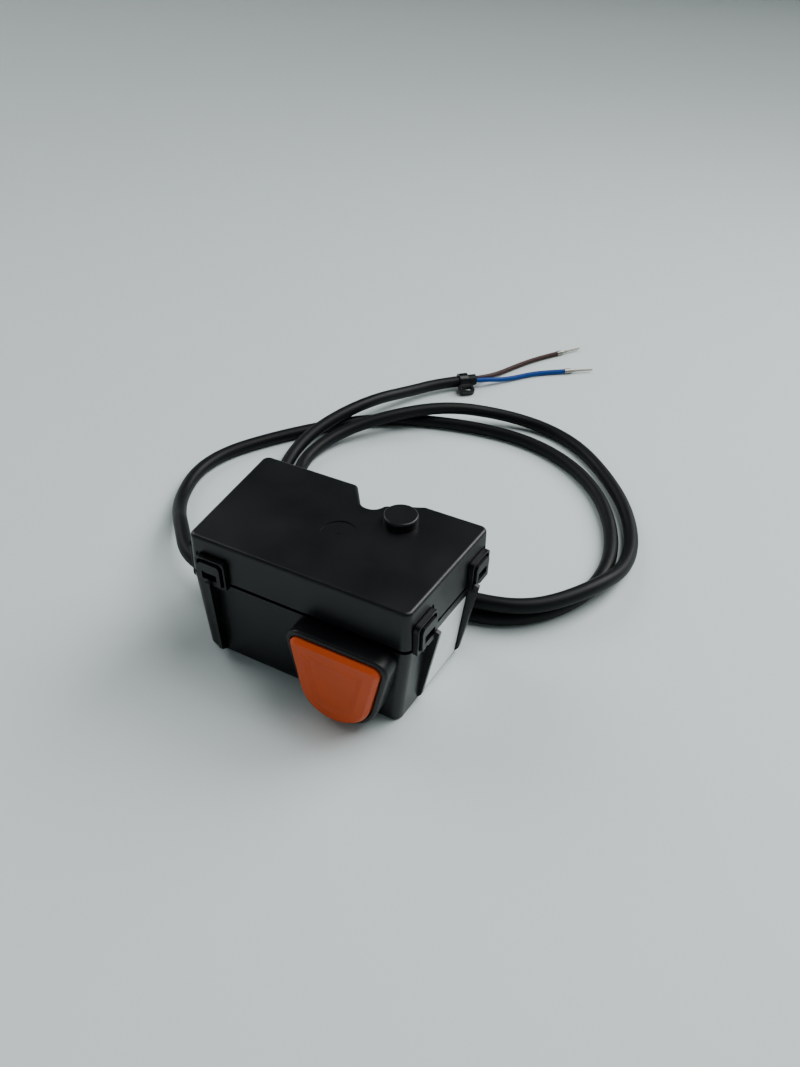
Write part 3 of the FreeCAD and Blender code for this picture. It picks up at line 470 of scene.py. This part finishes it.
# Cord routes in mm: out of the left wall, then two loose turns on the table, the later strand over the
# earlier one where they cross. Heights of the line: lying on the table, and over another strand.
LIE = 3.75
CROSSING = 1.13
OVER = LIE + CROSSING * CABLE_MM
CABLE_ROUTE = [
    (-61.054, -4.0, 14.0), (-80.5, -4.0, 14.0), (-101.5, 16.7, 14.0), (-114.6, 29.5, 7.8),
    (-127.1, 46.0, LIE), (-135.4, 69.5, LIE), (-132.7, 93.3, LIE), (-119.3, 117.6, LIE),
    (-100.6, 142.9, LIE), (-78.8, 166.9, LIE), (-50.2, 183.0, LIE), (-17.2, 192.4, LIE),
    (16.1, 194.5, LIE), (46.6, 184.6, LIE), (71.6, 164.2, LIE), (88.4, 136.5, LIE),
    (96.9, 106.6, LIE), (94.3, 78.4, LIE), (81.0, 55.0, LIE), (61.5, 39.5, LIE),
    (37.0, 36.0, LIE), (10.0, 39.5, LIE), (-19.0, 50.5, LIE), (-49.2, 66.2, LIE),
    (-77.3, 85.6, LIE), (-89.9, 110.6, LIE), (-82.7, 143.0, 7.0), (-59.5, 169.8, OVER),
    (-34.2, 194.6, OVER), (-5.7, 210.6, 7.0), (23.2, 214.5, LIE), (49.5, 203.1, LIE),
    (72.5, 181.0, LIE), (91.6, 154.7, LIE), (102.9, 126.4, 3.9), (104.9, 99.3, 7.0),
    (97.7, 76.0, OVER), (85.6, 57.7, OVER), (73.0, 45.7, OVER), (57.0, 39.5, OVER),
    (35.0, 36.8, OVER), (10.0, 39.5, OVER), (-18.0, 43.5, OVER), (-46.0, 51.0, 10.5),
    (-69.8, 63.6, 5.5), (-86.9, 81.3, LIE), (-95.9, 103.2, 4.4), (-96.2, 127.6, 8.6),
    (-88.6, 153.5, OVER), (-78.7, 180.7, OVER), (-68.7, 207.8, 7.2), (-56.5, 231.6, 5.4),
    (-38.3, 248.2, 5.4),
]

# Cores: they leave the cable's end side by side, run straight on, then lie on the table
CABLE_END = np.array(CABLE_ROUTE[-1])
END_RUN = CABLE_END - np.array(CABLE_ROUTE[-2])
END_WAY = END_RUN / np.linalg.norm(END_RUN)
END_SIDE = np.array([-END_WAY[1], END_WAY[0], 0.0])
CORE_SPREAD = 1.65
CORE_STRAIGHT = 5.0
CORE_LIE = 1.9


def core_route(hand, points):
    first = CABLE_END + END_SIDE * hand * CORE_SPREAD
    straight = [tuple(first), tuple(first + END_WAY * CORE_STRAIGHT)]
    return straight + [(x, y, CORE_LIE) for x, y in points]


# Core: route and length in mm
CORES = {
    "brown": (core_route(1, [(-30.5, 268.5), (-21.5, 290.5), (-12.6, 308.2), (-2.9, 322.3)]), 82.4),
    "blue": (core_route(-1, [(-21.5, 264.8), (-9.0, 282.0), (2.9, 291.8), (11.2, 298.0)]), 71.0),
}

# Wire ends in mm: a sleeve's length and its lap over the core, the bare strands and their tuck in the sleeve
SLEEVE_LENGTH = 9.0
SLEEVE_LAP = 1.5
STRAND_LENGTH = 12.0
STRAND_TUCK = 1.0

# Sleeve's profile: the lip's break along and across in mm, the pinhole that closes each end in mm, the places
# of barrel end, taper and neck as shares of the length, the taper's share of the mouth, and rings per run
LIP_ALONG, LIP_ACROSS = 0.12, 0.1
PINHOLE = 0.02
BARREL_END, TAPER_AT, NECK_START = 0.42, 0.6, 0.74
TAPER_SHARE = 0.82
RUN_RINGS = 6

# Jaw marks: place as a share of the sleeve's length, width in mm, depth as a share of the radius
NIPS = ((0.36, 0.6, 0.16), (0.74, 0.5, 0.2))
SEAM_DEPTH = 0.2


# Operators

class SwitchCores(bpy.types.Operator):
    """Lays the brown and the blue core along their routes"""
    bl_idname = "switch.cores"
    bl_label = "Cores"

    def execute(self, context):
        diameter = context.scene.switch_sizes.core
        for tint, (route, _) in CORES.items():
            cord_curve(tint + "_wire", route, diameter, tint + "_sheath", tint + "_core")
        return {"FINISHED"}


class SwitchSleeves(bpy.types.Operator):
    """Presses a crimp sleeve over the end of each core"""
    bl_idname = "switch.sleeves"
    bl_label = "Crimp sleeves"

    def execute(self, context):
        sizes = context.scene.switch_sizes
        mouth = sizes.sleeve / 2
        neck = sizes.sleeve_neck / 2
        bore = sizes.core / 2
        lap = SLEEVE_LAP * MM
        reach = SLEEVE_LENGTH * MM
        # Distance along the axis and radius: the core's end, the bore, the mouth, the barrel, the taper
        # and the neck
        corners = np.array([
            (lap, PINHOLE * MM), (lap, bore), (0, bore),
            (0, mouth - LIP_ACROSS * MM), (LIP_ALONG * MM, mouth), (BARREL_END * reach, mouth),
            (TAPER_AT * reach, TAPER_SHARE * mouth), (NECK_START * reach, neck),
            (reach, neck), (reach, PINHOLE * MM),
        ])
        count = np.arange(len(corners))
        span = np.linspace(0, count[-1], RUN_RINGS * count[-1] + 1)
        along, profile = (np.interp(span, count, values) for values in corners.T)
        nips = [(at * reach, width * MM, depth) for at, width, depth in NIPS]
        for tint in CORES:
            end, way = cord_end(tint + "_wire")
            points = crimp_surface(end - lap * way, way, along, profile, sizes.ring_sides, nips, SEAM_DEPTH)
            faces = tube_faces(len(along), sizes.ring_sides)
            piece(tint + "_sleeve", points, faces, "tinned_metal", tint + "_crimp")
        return {"FINISHED"}


class SwitchStrands(bpy.types.Operator):
    """Lays up the bare tinned strands at the ends of the cores"""
    bl_idname = "switch.strands"
    bl_label = "Strands"

    def execute(self, context):
        sizes = context.scene.switch_sizes
        inside = (SLEEVE_LENGTH - SLEEVE_LAP - STRAND_TUCK) * MM
        reach = (STRAND_LENGTH + STRAND_TUCK) * MM
        for tint in CORES:
            end, way = cord_end(tint + "_wire")
            points, faces = strand_surfaces(end + inside * way, way, reach, sizes.strand, sizes.strand_lay)
            piece(tint + "_bundle", points, faces, "tinned_metal", tint + "_strands")
        return {"FINISHED"}


class SwitchCable(bpy.types.Operator):
    bl_idname = "switch.cable"
    bl_label = "Cable"

    def execute(self, context):
        sizes = context.scene.switch_sizes
        dress("cable_entry")
        cable = cord_curve("cable", CABLE_ROUTE, sizes.cable, "cable_sheath", "cable_jacket")
        return {"FINISHED"}


class SwitchHousing(bpy.types.Operator):
    """Finishes the lower housing, the cover and the dome plug"""
    bl_idname = "switch.housing"
    bl_label = "Housing and cover"

    def execute(self, context):
        sizes = context.scene.switch_sizes
        dress("lower_housing", "cover", "dome_plug")
        soften("lower_housing", sizes.housing_edge)
        soften("cover", sizes.housing_edge)
        soften("dome_plug", sizes.small_edge)
        return {"FINISHED"}


class SwitchPaddle(bpy.types.Operator):
    """Finishes the paddle with its pin and spring"""
    bl_idname = "switch.paddle"
    bl_label = "Paddle"

    def execute(self, context):
        dress("paddle", "paddle_pin", "paddle_spring")
        soften("paddle", context.scene.switch_sizes.paddle_edge, PADDLE_CRISP_DEGREES)
        return {"FINISHED"}


class SwitchWorks(bpy.types.Operator):
    """Finishes the snap-action switch, its carrier, leads and clamp inside the housing"""
    bl_idname = "switch.works"
    bl_label = "Works inside"

    def execute(self, context):
        dress("switch_case", "switch_plunger", "switch_terminals", "switch_screws", "switch_carrier",
              "carrier_screws", "lead_receptacles", "brown_lead", "blue_lead", "cord_clamp",
              "clamp_screws")
        for name in ("switch_case", "switch_carrier", "cord_clamp"):
            soften(name, context.scene.switch_sizes.small_edge)
        return {"FINISHED"}


class SwitchFittings(bpy.types.Operator):
    """Finishes the cable's gland and tie, and the bare label"""
    bl_idname = "switch.fittings"
    bl_label = "Gland, tie and label"

    def execute(self, context):
        dress("cable_gland", "cable_tie", "blank_label")
        soften("cable_gland", context.scene.switch_sizes.small_edge)
        soften("cable_tie", context.scene.switch_sizes.small_edge)
        return {"FINISHED"}


# Stage

# Lamps: places, what they are aimed at and the panels' sides, in metres
MIDDLE = (0, 0.05, 0.03)
LEFT_LIGHT = (-1.3, 0.35, 1.05)
BACK_LIGHT = (0.7, 1.2, 0.85)
TOP_PANEL = (0.35, 0.4, 1.0)
TOP_PANEL_SIDE = 0.7
RIGHT_PANEL = (0.55, 0.3, 0.75)
RIGHT_FLOOR = (0.3, 0.15, 0)
RIGHT_PANEL_SIDE = 0.6

# Camera: place, sensor and nearest view in mm, angles in degrees, focal length in pixels of a frame 800 wide
EYE = (137.3, -218.17, 265.68)
AZIMUTH, PITCH, ROLL = 26.21, 38.73, -1.65
FOCAL, FRAME_WIDTH = 801, 800
SENSOR = 36.0
NEAREST = 10.0


def lamp(name, kind, place, aim, energy):
    made = bpy.data.lights.new(name, kind)
    made.energy = energy
    obj = link(bpy.data.objects.new(name, made))
    obj.location = place
    obj.rotation_euler = (Vector(aim) - Vector(place)).to_track_quat("-Z", "Y").to_euler()
    return made


class SwitchStage(bpy.types.Operator):
    """Sets the pale floor, the soft light and the camera"""
    bl_idname = "switch.stage"
    bl_label = "Stage"

    def execute(self, context):
        studio = context.scene.switch_studio
        points, faces = sweep_surface(studio.floor_flat, studio.sweep)
        mesh = bpy.data.meshes.new("floor")
        mesh.from_pydata(points.tolist(), [], faces)
        mesh.polygons.foreach_set("use_smooth", np.ones(len(faces), bool))
        mesh.materials.append(floor_paint(tuple(studio.floor)))
        link(bpy.data.objects.new("floor", mesh))

        world = bpy.data.worlds.new("studio")
        world.use_nodes = True
        sky = world.node_tree.nodes["Background"].inputs
        sky["Color"].default_value = (*studio.sky_tint, 1)
        sky["Strength"].default_value = studio.sky
        context.scene.world = world
        lamp("left_light", "SUN", LEFT_LIGHT, MIDDLE, studio.left).angle = studio.spread
        lamp("back_light", "SUN", BACK_LIGHT, MIDDLE, studio.back).angle = studio.spread
        lamp("top_panel", "AREA", TOP_PANEL, MIDDLE, studio.top).size = TOP_PANEL_SIDE
        lamp("right_panel", "AREA", RIGHT_PANEL, RIGHT_FLOOR, studio.panel).size = RIGHT_PANEL_SIDE

        azimuth, pitch, roll = (math.radians(angle) for angle in (AZIMUTH, PITCH, ROLL))
        level = math.cos(pitch)
        forward = Vector((-math.sin(azimuth) * level, math.cos(azimuth) * level, -math.sin(pitch)))
        right = Vector((math.cos(azimuth), math.sin(azimuth), 0))
        down = forward.cross(right)
        across = right * math.cos(roll) + down * math.sin(roll)
        lower = down * math.cos(roll) - right * math.sin(roll)
        lens = bpy.data.cameras.new("camera")
        lens.sensor_fit = "HORIZONTAL"
        lens.sensor_width = SENSOR
        lens.lens = SENSOR * FOCAL / FRAME_WIDTH
        lens.clip_start = NEAREST * MM
        camera = link(bpy.data.objects.new("camera", lens))
        turn = Matrix((across, -lower, -forward)).transposed().to_4x4()
        camera.matrix_world = Matrix.Translation(Vector(EYE) * MM) @ turn
        context.scene.camera = camera
        return {"FINISHED"}


# Panel and registration

STEPS = (SwitchStage, SwitchCores, SwitchSleeves, SwitchStrands, SwitchCable, SwitchHousing, SwitchPaddle,
         SwitchWorks, SwitchFittings)
GROUPS = {"switch_sizes": SwitchSizes, "switch_colours": SwitchColours, "switch_studio": SwitchStudio}


class SwitchPanel(bpy.types.Panel):
    """Sizes, colours and steps of the switch"""
    bl_idname = "VIEW3D_PT_dead_man_switch"
    bl_label = "Dead Man Switch"
    bl_space_type = "VIEW_3D"
    bl_region_type = "UI"
    bl_category = "Switch"

    def draw(self, context):
        for group, kind in GROUPS.items():
            column = self.layout.box().column()
            for name in kind.__annotations__:
                column.prop(getattr(context.scene, group), name)
        for step in STEPS:
            self.layout.operator(step.bl_idname)


def register():
    for kind in (*GROUPS.values(), *STEPS, SwitchPanel):
        bpy.utils.register_class(kind)
    for name, kind in GROUPS.items():
        setattr(bpy.types.Scene, name, PointerProperty(type=kind))


def unregister():
    for name in GROUPS:
        delattr(bpy.types.Scene, name)
    for kind in (SwitchPanel, *reversed(STEPS), *GROUPS.values()):
        bpy.utils.unregister_class(kind)


def main():
    register()
    bpy.ops.switch.stage()
    bpy.ops.switch.cores()
    bpy.ops.switch.sleeves()
    bpy.ops.switch.strands()
    bpy.ops.switch.cable()
    bpy.ops.switch.housing()
    bpy.ops.switch.paddle()
    bpy.ops.switch.works()
    bpy.ops.switch.fittings()


if __name__ == "__main__":
    main()
